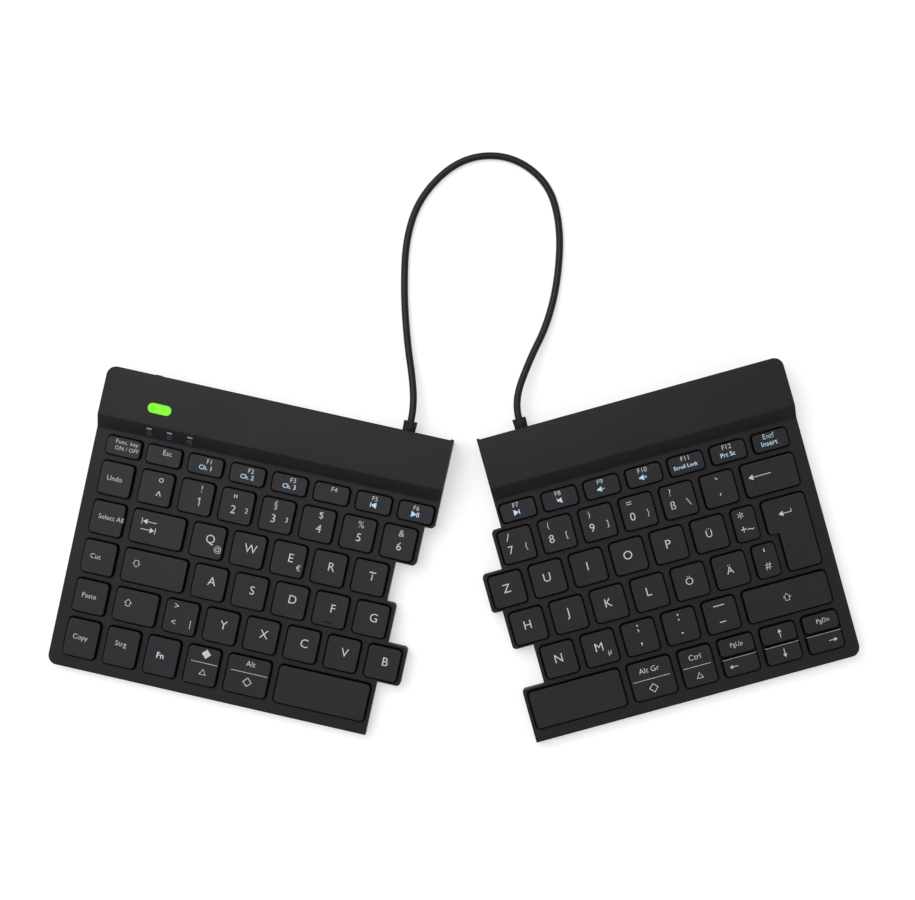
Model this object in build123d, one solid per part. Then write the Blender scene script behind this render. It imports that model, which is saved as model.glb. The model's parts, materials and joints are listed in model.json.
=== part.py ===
"""Split keyboard: two sloped halves joined by a cable, with 88 low scissor keys.

Each half is built in its own frame: X runs to the right along the front edge, Y to the rear and
Z up from the desk, with the origin at the half's outer front corner. The keys, their openings
and the switch layers are laid out in the plane of the sloped plate, and then tilted with it.
"""
import os
from dataclasses import dataclass
from math import asin, atan2, cos, degrees, pi, radians, tan

from build123d import *

# Key grid, in the plane of the plate
key_pitch = 19.0
opening_size = 16.5
row_web = 1.95
space_row_depth = 18.8
function_opening_width = 17.45
function_opening_depth = 9.85
function_pitch = 19.73
wide_function_keys = 6
function_key_offset = 0.65
half_key_gap = 0.5
opening_corner_cut = 1.4
outer_margin = 5.7
inner_margin = 1.5
bar_inner_margin = 0.9
front_margin = 5.4

# Case
plate_slope = 2.4
front_height = 6.0
bar_height = 15.2
bar_foot_gap = 2.0
bar_slope_depth = 5.3
bar_top_depth = 23.2
outer_corner_radius = 4.5
end_rib_width = 1.2
end_rib_proud = 0.5
step_corner_radius = 1.8
step_round_share = 0.9
interlock_clearance = 0.15
rear_edge_radius = 1.0
front_edge_radius = 0.8
case_wall = 1.4
foot_height = 0.8
cover_thickness = 1.4
cover_lip_height = 0.7
cover_lip_width = 0.8
lip_clearance = 0.2

# Keycaps
key_clearance = 0.3
key_draft = 0.3
key_bevel = 0.4
bevel_angle = 45
key_proud = 2.0
key_cap_height = 2.6
key_corner_cut = 1.1
key_travel = 1.6
home_bar_length = 3.6
home_bar_width = 0.6
home_bar_height = 0.25
home_bar_inset = 2.6

# Layers under the keys
travel_reserve = 0.3
membrane_thickness = 0.4
switch_case_wall = 0.5
rubber_gap = 0.1
dome_radius_share = 0.19
dome_top_share = 0.55
dome_sides = 6
link_offset_share = 0.27
link_length = 9.0
link_width = 1.0
link_thickness = 0.5
wide_key_share = 2.0
support_rib_width = 1.2
support_rib_shares = (0.2, 0.4, 0.6, 0.8)

# Feet and screws
foot_length = 16.0
foot_width = 6.0
foot_corner_cut = 1.5
foot_inset = 9.0
screw_head_radius = 1.7
screw_head_height = 0.8
screw_radius = 0.9
screw_length = 2.6
screw_clearance = 0.1
boss_radius = 1.5
boss_sides = 8
screw_sides = 6
front_screw_inset = 2.7
rear_screw_inset = 4.0
screw_side_shares = (0.08, 0.88)

# Electronics in the rear bar
battery_length = 62.0
battery_gap = 1.0
battery_height = 6.0
battery_corner_cut = 1.5
board_width = 15.0
board_thickness = 1.0
board_standoff = 2.0
board_rib_width = 1.5
board_side_inset = 15.0
board_length = 42.0
bar_inner_gap = 1.5
socket_width = 8.9
socket_height = 3.2
socket_depth = 7.3
socket_wall = 0.3
socket_tongue_width = 6.6
socket_tongue_height = 0.7
socket_inset = 40.0
switch_inset = 22.0
switch_knob_width = 3.0
switch_knob_height = 1.8
switch_knob_proud = 0.4
switch_travel = 2.5
switch_flange = 1.0
switch_flange_thickness = 1.2
sliding_clearance = 0.1
fit_clearance = 0.05

# Light window and indicator light pipes
window_length = 11.0
window_width = 4.6
window_proud = 0.15
window_inset = 27.4
window_setback = 8.2
pipe_length = 2.4
pipe_width = 0.8
pipe_pitch = 9.6
pipe_count = 3
pipe_inset = 24.4
pipe_depth_share = 0.72

# Cable between the halves
cable_diameter = 3.3
gland_height = 8.0
gland_inset = 21.2
gland_length = 4.7
gland_root_radius = 3.0
gland_tip_radius = 3.2
gland_neck_radius = 2.3
gland_flange_radius = 3.1
gland_flange_thickness = 1.2

left_exit_run = 6.0
right_exit_run = 8.0
run_share = 0.45
# Route of the cable on the desk between its two straight exits, from the left half to the right
cable_route = [
    (-17.5, 77.7, 6.0),
    (-20.4, 96.3, 3.0),
    (-22.1, 120.2, 1.65),
    (-21.1, 145.6, 1.65),
    (-13.7, 165.5, 1.65),
    (4.3, 182.0, 1.65),
    (26.6, 183.6, 1.65),
    (44.7, 170.8, 1.65),
    (50.6, 150.4, 1.65),
    (49.4, 125.2, 1.65),
    (44.3, 104.2, 3.0),
    (36.0, 87.5, 6.0),
]

# How the halves lie on the desk: their turns, and the gap between their rear inner corners
left_turn = -12.5
right_turn = 15.5
rear_corner_gap = 10.6
rear_corner_step = 0.3

overrun = 2.0

# Width of each key in key pitches, counted from the outer edge of the half inwards
left_row_shares = {
    "number": [("left_shortcut_keys", 1.0)] + [("left_number_keys", 1.0)] * 7,
    "upper": [("left_shortcut_keys", 1.0), ("tab_key", 1.5)] + [("left_upper_letter_keys", 1.0)] * 5,
    "home": [("left_shortcut_keys", 1.0), ("caps_lock_key", 1.75)] + [("left_home_letter_keys", 1.0)] * 5,
    "lower": [("left_shortcut_keys", 1.0), ("left_shift_key", 1.25)] + [("left_lower_letter_keys", 1.0)] * 6,
    "space": [
        ("left_shortcut_keys", 1.0),
        ("left_control_key", 1.0),
        ("fn_key", 1.0),
        ("left_system_key", 1.0),
        ("left_alt_key", 1.25),
        ("left_space_key", 2.44),
    ],
}
right_row_shares = {
    "number": [("backspace_key", 1.5)] + [("right_number_keys", 1.0)] * 6,
    "upper": [("enter_key", 1.25), ("plus_key", 0.75)] + [("right_upper_letter_keys", 1.0)] * 6,
    "home": [("enter_key", 1.0), ("hash_key", 0.75)] + [("right_home_letter_keys", 1.0)] * 6,
    "lower": [("right_shift_key", 2.25)] + [("right_lower_letter_keys", 1.0)] * 5,
    "space": [("right_control_key", 1.0), ("alt_gr_key", 1.25), ("right_space_key", 2.44)],
}
half_height_pairs = [
    ("page_down_key", "right_arrow_key"),
    ("up_arrow_key", "down_arrow_key"),
    ("page_up_key", "left_arrow_key"),
]
row_order = ["space", "lower", "home", "upper", "number", "function"]
home_keys = {"left": ("left_home_letter_keys", 3), "right": ("right_home_letter_keys", 4)}


@dataclass
class Half:
    """One half of the keyboard; inwards is +1 where X runs from the outer edge inwards."""

    side: str
    inwards: int
    row_shares: dict
    turn: float


@dataclass
class Opening:
    """An opening in the plate: its key's node, its row, and its span inwards and rearwards."""

    node: str
    row: str
    near: float
    far: float
    front: float
    rear: float


LEFT = Half("left", 1, left_row_shares, left_turn)
RIGHT = Half("right", -1, right_row_shares, right_turn)


def row_depth(row):
    depths = {"space": space_row_depth, "function": function_opening_depth}
    return depths.get(row, opening_size)


def row_front(row):
    front = front_margin
    for name in row_order[: row_order.index(row)]:
        front += row_depth(name) + row_web
    return front


def function_openings(half):
    """Function row: on the left half two keys keep the key pitch, then the wider pitch follows."""
    front = row_front("function")
    rear = front + function_opening_depth
    if half.side == "left":
        starts = [("left_function_keys", 0), ("escape_key", key_pitch)]
        first = 2 * key_pitch + function_key_offset
        starts += [("left_function_keys", first + i * function_pitch) for i in range(wide_function_keys)]
    else:
        starts = [("delete_key", 0)]
        starts += [("right_function_keys", (i + 1) * function_pitch) for i in range(wide_function_keys)]
    openings = []
    for node, start in starts:
        near = outer_margin + start
        openings.append(Opening(node, "function", near, near + function_opening_width, front, rear))
    return openings


def row_openings(half, row):
    if row == "function":
        return function_openings(half)
    front = row_front(row)
    rear = front + row_depth(row)
    edge = outer_margin
    openings = []
    if row == "space" and half.side == "right":
        for pair in half_height_pairs:
            openings.append(Opening(pair, row, edge, edge + function_opening_width, front, rear))
            edge += function_pitch
    for node, share in half.row_shares[row]:
        width = share * key_pitch - (key_pitch - opening_size)
        openings.append(Opening(node, row, edge, edge + width, front, rear))
        edge += share * key_pitch
    return openings


def row_edge(half, row):
    margin = bar_inner_margin if row == "function" else inner_margin
    return row_openings(half, row)[-1].far + margin


case_depth = row_front("function") + function_opening_depth + bar_foot_gap + bar_slope_depth + bar_top_depth
bar_foot = case_depth - bar_top_depth - bar_slope_depth
bar_crest = case_depth - bar_top_depth
cover_top = foot_height + cover_thickness
membrane_top = key_proud - key_cap_height - key_travel - travel_reserve
switch_plate_bottom = membrane_top - membrane_thickness - switch_case_wall
bar_inner_front = bar_crest + case_wall


def deck(half_part):
    """Tilt a part from the plane of the plate into the frame of its half."""
    return Location((0, 0, front_height), (plate_slope, 0, 0)) * half_part


def deck_height(y):
    return front_height + y * tan(radians(plate_slope))


def edge_corners(half, inset=0.0):
    """Corners of the stepped inner edge, from the front to the rear, as (inward, rearward)."""
    corners = []
    for index, row in enumerate(row_order):
        edge = row_edge(half, row) - inset
        if index:
            boundary = row_front(row) - row_web / 2
            wider_below = edge < corners[-1][0]
            shift = -interlock_clearance - inset if wider_below else interlock_clearance + inset
            corners.append((corners[-1][0], boundary + shift))
            corners.append((edge, boundary + shift))
        else:
            corners.append((edge, inset))
    return corners


def polygon_face(points):
    return make_face(Polyline(*points, close=True)).face()


def facing_up(face):
    return face if face.normal_at().Z > 0 else -face


def plan_face(half, points):
    """Face seen from above, from (inward, rearward) points that run from the front to the rear."""
    return facing_up(polygon_face([(half.inwards * x, y) for x, y in points]))


def plain_outline(half, inset=0.0, rear=case_depth):
    points = [(inset, inset)] + edge_corners(half, inset)
    return plan_face(half, points + [(points[-1][0], rear - inset), (inset, rear - inset)])


def is_step_corner(half, vertex):
    """Step corners that stick out inwards are rounded; the others stay sharp."""
    inward = vertex.X * half.inwards
    for row in row_order[:-1]:
        edge = row_edge(half, row)
        next_edge = row_edge(half, row_order[row_order.index(row) + 1])
        widest = max(edge, next_edge)
        boundary = row_front(row) + row_depth(row) + row_web / 2
        near_step = abs(vertex.Y - boundary) <= 2 * interlock_clearance
        if near_step and abs(inward - widest) <= interlock_clearance:
            return True
    return False


def step_radius(half):
    """Radius of the step corners, limited by the shortest step."""
    edges = [row_edge(half, row) for row in row_order]
    shortest = min(abs(far - near) for near, far in zip(edges, edges[1:]))
    return min(step_corner_radius, step_round_share * shortest)


def case_outline(half):
    face = plain_outline(half)
    steps = [v for v in face.vertices() if is_step_corner(half, v)]
    face = fillet(steps, step_radius(half))
    outer = [v for v in face.vertices() if abs(v.X) < interlock_clearance]
    return fillet(outer, outer_corner_radius)


def inner_outline(half, inset, rear=case_depth):
    """The outline moved inwards; only its two outer corners are rounded."""
    face = plain_outline(half, inset, rear)
    outer = face.vertices().sort_by(lambda v: abs(v.X))[:2]
    return fillet(outer, outer_corner_radius - inset)


def side_profile(bottom):
    """Section of a half from front to rear: the sloped plate, the slope of the bar and its top."""
    points = [
        (0, bottom),
        (0, front_height),
        (bar_foot, deck_height(bar_foot)),
        (bar_crest, bar_height),
        (case_depth, bar_height),
        (case_depth, bottom),
    ]
    return polygon_face(points)


def prism_along_x(face, half):
    """Extrude a section, drawn as (rearward, up), over more than the half's width."""
    reach = row_edge(half, "function") + row_edge(half, "upper")
    return extrude(Plane.YZ * face, amount=reach, both=True)


def outer_body(half, bottom, top_limit):
    profile = side_profile(bottom)
    rear_top = profile.vertices().sort_by(Axis.Y)[-2:].sort_by(Axis.X)[-1]
    profile = fillet(rear_top, rear_edge_radius)
    front_edge = [v for v in profile.vertices() if abs(v.X) < overrun]
    front_top = [v for v in front_edge if abs(v.Y - front_height) < foot_height]
    profile = fillet(front_top, front_edge_radius)
    prism = extrude(Pos(0, 0, bottom) * case_outline(half), amount=top_limit - bottom)
    return prism & prism_along_x(profile, half)


def cavity(half):
    """Room inside the case, open at the bottom."""
    profile = offset(side_profile(cover_top - case_wall - overrun), -case_wall, kind=Kind.INTERSECTION)
    room = extrude(Pos(0, 0, cover_top - overrun) * inner_outline(half, case_wall), amount=bar_height)
    return room & prism_along_x(profile, half)


def rectangle_between(near, far, front, rear, half):
    center = (half.inwards * (near + far) / 2, (front + rear) / 2)
    return Pos(*center) * Rectangle(far - near, rear - front)


def opening_face(half, opening, corner_cut, shrink=0.0):
    """Face of one opening, shrunk for its key, with its corners cut."""
    near, far = opening.near + shrink, opening.far - shrink
    front, rear = opening.front + shrink, opening.rear - shrink
    face = rectangle_between(near, far, front, rear, half)
    if opening.node != "enter_key":
        return chamfer(face.vertices(), corner_cut)
    step_far = row_openings(half, "upper")[0].far - shrink
    step_front = row_front("upper") + shrink
    face = face + rectangle_between(near, step_far, step_front, rear, half)
    face = face - rectangle_between(far, step_far, front, step_front, half)
    concave = Vector(half.inwards * far, step_front)
    corners = [v for v in face.vertices() if (Vector(*v) - concave).length > corner_cut]
    return chamfer(corners, corner_cut)


def plate_openings(half):
    """All openings of a half; the tall key that spans two rows is listed once."""
    openings = []
    for row in row_order:
        for opening in row_openings(half, row):
            if opening.node == "enter_key" and row == "upper":
                openings[enter_index].rear = opening.rear
                continue
            if opening.node == "enter_key":
                enter_index = len(openings)
            openings.append(opening)
    return openings


def screw_places(half):
    places = []
    for share in screw_side_shares:
        side = share * row_edge(half, "space")
        places.append((half.inwards * side, front_screw_inset))
        places.append((half.inwards * side, case_depth - rear_screw_inset))
    return places


def screw_bosses(half):
    """Bosses that hang from the roof of the case down to the cover, each with its screw hole."""
    bosses = []
    for x, y in screw_places(half):
        bosses.append(Pos(x, y, cover_top) * extrude(RegularPolygon(boss_radius, boss_sides), amount=bar_height))
    return bosses


def screw_holes(half):
    bottom = foot_height
    length = screw_head_height + screw_length + screw_clearance
    hole = Pos(0, 0, bottom) * extrude(RegularPolygon(screw_radius + screw_clearance, screw_sides), amount=length)
    return [Pos(x, y) * hole for x, y in screw_places(half)]


def gland_place(half):
    side = row_edge(half, "function") - gland_inset
    return Location((half.inwards * side, case_depth, gland_height), (-90, 0, 0))


def window_place():
    return Pos(window_inset, bar_crest + window_setback, bar_height - case_wall)


def pipe_places():
    """Places on the slope of the bar, turned so that local Z is the slope's outward normal."""
    rise = bar_height - deck_height(bar_foot)
    slope_angle = degrees(atan2(rise, bar_slope_depth))
    y = bar_foot + pipe_depth_share * bar_slope_depth
    z = deck_height(bar_foot) + pipe_depth_share * rise
    return [Location((pipe_inset + i * pipe_pitch, y, z), (slope_angle, 0, 0)) for i in range(pipe_count)]


def pill(length, width, height):
    return extrude(SlotOverall(length, width), amount=height)


def socket_place():
    """Rear mouth of the charging socket; local Z points out of the rear wall."""
    z = cover_top + board_standoff + board_thickness + socket_height / 2
    return Location((socket_inset, case_depth, z), (-90, 0, 0))


def switch_place():
    z = cover_top + board_standoff + board_thickness + socket_height / 2
    return Location((switch_inset, case_depth, z), (-90, 0, 0))


def end_rib(half):
    """Upright rib at the bar's inner end that stands a little proud of the rear wall."""
    height = bar_height - rear_edge_radius - cover_top
    rib = Box(end_rib_width, 2 * end_rib_proud, height)
    side = row_edge(half, "function") - end_rib_width / 2
    return Pos(half.inwards * side, case_depth, cover_top + height / 2) * rib


def top_case(half):
    inner = cavity(half)
    shell = outer_body(half, cover_top, bar_height) + end_rib(half) - inner
    bosses = [boss & inner for boss in screw_bosses(half)]
    shell = shell + bosses
    cutters = []
    for opening in plate_openings(half):
        face = opening_face(half, opening, opening_corner_cut)
        cutters.append(deck(Pos(0, 0, -2 * case_wall) * extrude(face, amount=3 * case_wall)))
    cutters += screw_holes(half)
    gland_hole = Cylinder(gland_neck_radius + fit_clearance, 4 * case_wall)
    cutters.append(gland_place(half) * gland_hole)
    if half.side == "left":
        window_hole = pill(window_length + 2 * fit_clearance, window_width + 2 * fit_clearance, 2 * case_wall)
        cutters.append(window_place() * Pos(0, 0, -fit_clearance) * window_hole)
        for place in pipe_places():
            slot = Box(pipe_length + 2 * fit_clearance, pipe_width + 2 * fit_clearance, 4 * case_wall)
            cutters.append(place * slot)
        mouth = pill(socket_width + 2 * fit_clearance, socket_height + 2 * fit_clearance, 4 * case_wall)
        cutters.append(socket_place() * Pos(0, 0, -2 * case_wall) * mouth)
        slot_width = switch_knob_width + switch_travel + 2 * sliding_clearance
        slot = Box(slot_width, switch_knob_height + 2 * sliding_clearance, 4 * case_wall)
        cutters.append(switch_place() * Pos(switch_travel / 2, 0, 0) * slot)
    return shell - cutters


def support_ribs(half):
    """Wedge ribs on the cover that carry the switch plate along its slope."""
    front = case_wall + lip_clearance + cover_lip_width + lip_clearance
    rear = row_front("function") + function_opening_depth
    drop = switch_plate_bottom / cos(radians(plate_slope))
    section = polygon_face(
        [
            (front, cover_top),
            (front, deck_height(front) + drop),
            (rear, deck_height(rear) + drop),
            (rear, cover_top),
        ]
    )
    rib = extrude(Plane.YZ * section, amount=support_rib_width / 2, both=True)
    return [Pos(half.inwards * share * row_edge(half, "space")) * rib for share in support_rib_shares]


def board_size(half):
    return board_length if half.side == "left" else board_length + board_side_inset


def board_center(half):
    if half.side == "left":
        side = board_side_inset + board_length / 2
    else:
        side = row_edge(half, "function") - gland_inset - board_size(half) / 2 - gland_flange_radius
    rear = case_depth - case_wall - bar_inner_gap
    return (half.inwards * side, rear - board_width / 2)


def bottom_cover(half):
    plate = extrude(Pos(0, 0, foot_height) * case_outline(half), amount=cover_thickness)
    lip_outer = inner_outline(half, case_wall + lip_clearance)
    lip_inner = inner_outline(half, case_wall + lip_clearance + cover_lip_width)
    lip = extrude(Pos(0, 0, cover_top) * (lip_outer - lip_inner), amount=cover_lip_height)
    x, y = board_center(half)
    board_ribs = []
    for end in (-1, 1):
        shift = end * (board_size(half) / 2 - board_rib_width)
        rib = Box(board_rib_width, board_width, board_standoff)
        board_ribs.append(Pos(x + shift, y, cover_top + board_standoff / 2) * rib)
    cover = plate + [lip] + support_ribs(half) + board_ribs
    cutters = screw_holes(half)
    for x, y in screw_places(half):
        head = extrude(RegularPolygon(screw_head_radius + screw_clearance, screw_sides), amount=screw_head_height)
        cutters.append(Pos(x, y, foot_height) * head)
        clear = extrude(RegularPolygon(boss_radius + lip_clearance, boss_sides), amount=bar_height)
        cutters.append(Pos(x, y, cover_top) * clear)
    return cover - cutters


def case_screws(half):
    head = extrude(RegularPolygon(screw_head_radius, screw_sides), amount=screw_head_height)
    shank = Pos(0, 0, screw_head_height) * extrude(RegularPolygon(screw_radius, screw_sides), amount=screw_length)
    return Compound([Pos(x, y, foot_height) * (head + shank) for x, y in screw_places(half)])


def rubber_feet(half):
    pad = extrude(chamfer(Rectangle(foot_length, foot_width).vertices(), foot_corner_cut), amount=foot_height)
    side_near = foot_inset + foot_length / 2
    narrowest = min(row_edge(half, "space"), row_edge(half, "function"))
    side_far = narrowest - foot_inset - foot_length / 2
    places = [(s, y) for s in (side_near, side_far) for y in (foot_inset, case_depth - foot_inset)]
    return Compound([Pos(half.inwards * s, y) * pad for s, y in places])


def layer_outline(half):
    """Plan of the membrane and its steel plate, inside the cover's lip and round the bosses."""
    inset = case_wall + 2 * lip_clearance + cover_lip_width
    rear = row_front("function") + function_opening_depth + bar_foot_gap / 2 + inset
    notch = RegularPolygon(boss_radius + lip_clearance, boss_sides)
    return inner_outline(half, inset, rear) - [Pos(x, y) * notch for x, y in screw_places(half)]


def membrane_sheet(half):
    bottom = membrane_top - membrane_thickness
    return deck(Pos(0, 0, bottom) * extrude(layer_outline(half), amount=membrane_thickness))


def switch_plate(half):
    return deck(Pos(0, 0, switch_plate_bottom) * extrude(layer_outline(half), amount=switch_case_wall))


def key_openings(half):
    """One entry per key: pairs that share an opening are split into a rear and a front key."""
    keys = []
    for opening in plate_openings(half):
        if isinstance(opening.node, tuple):
            rear_node, front_node = opening.node
            middle = (opening.front + opening.rear) / 2
            keys.append(Opening(rear_node, "half", opening.near, opening.far, middle, opening.rear))
            keys.append(Opening(front_node, "half", opening.near, opening.far, opening.front, middle))
        else:
            keys.append(opening)
    return keys


def support_centers(half):
    """Centres of the switch supports, as (x, y, depth of the key); wide keys have two."""
    centers = []
    for key in key_openings(half):
        width = key.far - key.near
        count = 2 if width > wide_key_share * key_pitch else 1
        for i in range(count):
            side = key.near + width * (2 * i + 1) / (2 * count)
            depth = min(key.rear - key.front, opening_size)
            centers.append((half.inwards * side, (key.front + key.rear) / 2, depth))
    return centers


def rubber_domes(half):
    """Flat-sided collapsible domes, standing on the membrane just under their keys."""
    height = key_travel + travel_reserve - rubber_gap
    domes = []
    for x, y, depth in support_centers(half):
        radius = dome_radius_share * depth
        narrowing = (1 - dome_top_share) * radius * cos(pi / dome_sides)
        dome = extrude(RegularPolygon(radius, dome_sides), amount=height, taper=degrees(atan2(narrowing, height)))
        domes.append(deck(Pos(x, y, membrane_top) * dome))
    return Compound(domes)


def scissor_links(half):
    """Two crossed links beside each dome, from the membrane up to the underside of the key."""
    room = key_travel + travel_reserve - 2 * rubber_gap
    angle = degrees(asin((room - link_thickness) / link_length))
    links = []
    for x, y, depth in support_centers(half):
        for end in (-1, 1):
            bar = Box(link_length, link_width, link_thickness)
            place = Pos(x, y + end * link_offset_share * depth, membrane_top + rubber_gap + room / 2)
            links.append(deck(place * Rot(0, end * angle, 0) * bar))
    return Compound(links)


def keycap(face):
    """Low cap with drafted sides and a bevel round its top face."""
    skirt_height = key_cap_height - key_bevel
    skirt = extrude(face, amount=skirt_height, taper=degrees(atan2(key_draft, skirt_height)))
    rim = skirt.faces().sort_by(Axis.Z)[-1]
    return skirt + extrude(rim, amount=key_bevel, taper=bevel_angle)


def half_key_face(half, opening, front_one):
    """A half-height key keeps the corners of its shared opening and is square at the split."""
    face = opening_face(half, opening, key_corner_cut, key_clearance)
    middle = (opening.front + opening.rear) / 2
    near, far = opening.near - overrun, opening.far + overrun
    if front_one:
        keep = rectangle_between(near, far, opening.front - overrun, middle - half_key_gap / 2, half)
    else:
        keep = rectangle_between(near, far, middle + half_key_gap / 2, opening.rear + overrun, half)
    return face & keep


def home_bar(half, opening):
    x = half.inwards * (opening.near + opening.far) / 2
    y = opening.front + home_bar_inset
    bar = Box(home_bar_length, home_bar_width, home_bar_height, align=(Align.CENTER, Align.CENTER, Align.MIN))
    return Pos(x, y, key_cap_height) * bar


def key_solids(half):
    """Every keycap of a half, grouped by node, in the plane of the plate."""
    groups = {}
    seat = Pos(0, 0, key_proud - key_cap_height)
    for opening in plate_openings(half):
        if isinstance(opening.node, tuple):
            for node, front_one in zip(opening.node, (False, True)):
                cap = keycap(half_key_face(half, opening, front_one))
                groups.setdefault(node, []).append(deck(seat * cap))
            continue
        cap = keycap(opening_face(half, opening, key_corner_cut, key_clearance))
        solids = groups.setdefault(opening.node, [])
        if (opening.node, len(solids)) == home_keys[half.side]:
            cap = cap + home_bar(half, opening)
        solids.append(deck(seat * cap))
    return groups


def battery():
    """Flat cell beside the board; it fills the depth of the bar but for a gap all round."""
    battery_width = case_depth - case_wall - bar_inner_front - 2 * bar_inner_gap
    face = chamfer(Rectangle(battery_length, battery_width).vertices(), battery_corner_cut)
    cell = extrude(face, amount=battery_height)
    side = board_side_inset + board_length + battery_gap + battery_length / 2
    y = bar_inner_front + bar_inner_gap + battery_width / 2
    return Pos(side, y, cover_top) * cell


def circuit_board(half):
    x, y = board_center(half)
    board = Box(board_size(half), board_width, board_thickness)
    return Pos(x, y, cover_top + board_standoff + board_thickness / 2) * board


def usb_c_socket():
    """Metal shell with its contact tongue, lying on the board with its mouth in the rear wall."""
    outer = pill(socket_width, socket_height, socket_depth)
    bore = pill(socket_width - 2 * socket_wall, socket_height - 2 * socket_wall, socket_depth)
    shell = outer - Pos(0, 0, socket_wall) * bore
    tongue_length = socket_depth - 2 * socket_wall
    tongue = Box(
        socket_tongue_width,
        socket_tongue_height,
        tongue_length,
        align=(Align.CENTER, Align.CENTER, Align.MIN),
    )
    return socket_place() * Pos(0, 0, -socket_depth) * (shell + tongue)


def power_switch_slider():
    """Knob in the rear slot, with a flange that runs inside the wall."""
    knob_length = switch_knob_proud + case_wall + sliding_clearance
    knob = Box(
        switch_knob_width,
        switch_knob_height,
        knob_length,
        align=(Align.CENTER, Align.CENTER, Align.MIN),
    )
    flange = Box(
        switch_knob_width + 2 * switch_flange,
        switch_knob_height + 2 * switch_flange,
        switch_flange_thickness,
        align=(Align.CENTER, Align.CENTER, Align.MAX),
    )
    return switch_place() * Pos(0, 0, switch_knob_proud - knob_length) * (knob + flange)


def status_light_window():
    window = window_place() * pill(window_length, window_width, case_wall + window_proud)
    pipe = Box(pipe_length, pipe_width, case_wall, align=(Align.CENTER, Align.CENTER, Align.MAX))
    return Compound([window] + [place * pipe for place in pipe_places()])


def cable_gland(half):
    """Turned rubber grommet: inner flange, neck in the wall and a collar that flares outwards."""
    inside = -case_wall - fit_clearance
    section = polygon_face(
        [
            (0, inside - gland_flange_thickness),
            (gland_flange_radius, inside - gland_flange_thickness),
            (gland_flange_radius, inside),
            (gland_neck_radius, inside),
            (gland_neck_radius, fit_clearance),
            (gland_root_radius, fit_clearance),
            (gland_tip_radius, gland_length),
            (0, gland_length),
        ]
    )
    return gland_place(half) * revolve(Plane.XZ * section, Axis.Z)


def turned_rear_corner(half):
    """Rear inner corner of a half that is turned about its outer front corner."""
    corner = (half.inwards * row_edge(half, "function"), case_depth, 0)
    return Vector(*corner).rotate(Axis.Z, half.turn)


def desk_corner(half):
    """Outer front corner of a half on the desk, seen from that of the left half."""
    if half.side == "left":
        return Vector(0, 0, 0)
    gap = Vector(rear_corner_gap, rear_corner_step, 0)
    return turned_rear_corner(LEFT) + gap - turned_rear_corner(RIGHT)


def placement(half, center):
    corner = desk_corner(half) - center
    return Location((corner.X, corner.Y, 0), (0, 0, half.turn))


def desk_center():
    """Centre of both halves as they lie, which becomes the origin of the model."""
    laid = []
    for half in (LEFT, RIGHT):
        laid.append(placement(half, Vector(0, 0, 0)) * case_outline(half))
    return Compound(laid).bounding_box().center()


def gland_exit(half, center, run):
    """Mouth of the gland and the end of the cable's first straight run, in the model's frame."""
    place = placement(half, center) * gland_place(half)
    return [(place * Pos(0, 0, gland_length + reach)).position for reach in (0, run)]


def link_cable(center):
    """Tube of straight runs joined by the largest tangent arcs that the runs allow."""
    left_mouth, left_exit = gland_exit(LEFT, center, left_exit_run)
    right_mouth, right_exit = gland_exit(RIGHT, center, right_exit_run)
    points = [left_mouth, left_exit] + [Vector(p) for p in cable_route] + [right_exit, right_mouth]
    runs = [after - before for before, after in zip(points, points[1:])]
    radii = []
    for before, after in zip(runs, runs[1:]):
        turn = radians(before.get_angle(after))
        radii.append(run_share * min(before.length, after.length) / tan(turn / 2))
    path = FilletPolyline(*points, radius=radii)
    start = Plane(origin=left_mouth, z_dir=runs[0])
    tube = sweep(start * Circle(cable_diameter / 2), path=path)
    section = pi * (cable_diameter / 2) ** 2
    print("cable radii", [round(radius, 1) for radius in radii])
    print("cable length", round(path.length, 1), "volume ratio", round(tube.volume / (section * path.length), 4))
    print("cable points", [tuple(round(value, 2) for value in point) for point in points])
    return tube


def half_nodes(half):
    nodes = {
        "top_case": top_case(half),
        "bottom_cover": bottom_cover(half),
        "switch_plate": switch_plate(half),
        "membrane_sheet": membrane_sheet(half),
        "rubber_domes": rubber_domes(half),
        "scissor_links": scissor_links(half),
        "circuit_board": circuit_board(half),
        "rubber_feet": rubber_feet(half),
        "case_screws": case_screws(half),
        "cable_gland": cable_gland(half),
    }
    nodes = {f"{half.side}_{name}": solid for name, solid in nodes.items()}
    for node, solids in key_solids(half).items():
        nodes[node] = Compound(solids) if len(solids) > 1 else solids[0]
    if half.side == "left":
        nodes["battery"] = battery()
        nodes["usb_c_socket"] = usb_c_socket()
        nodes["power_switch_slider"] = power_switch_slider()
        nodes["status_light_window"] = status_light_window()
    return nodes


def write_parts():
    os.makedirs("parts", exist_ok=True)
    center = desk_center()
    export_step(link_cable(center), "parts/link_cable.step")
    for half in (LEFT, RIGHT):
        place = placement(half, center)
        for node, solid in half_nodes(half).items():
            export_step(place * solid, f"parts/{node}.step")


write_parts()
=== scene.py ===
import json
from math import acos, atan2, hypot, pi, radians, tan

import bmesh
import bpy
from mathutils import Matrix, Vector

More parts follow.
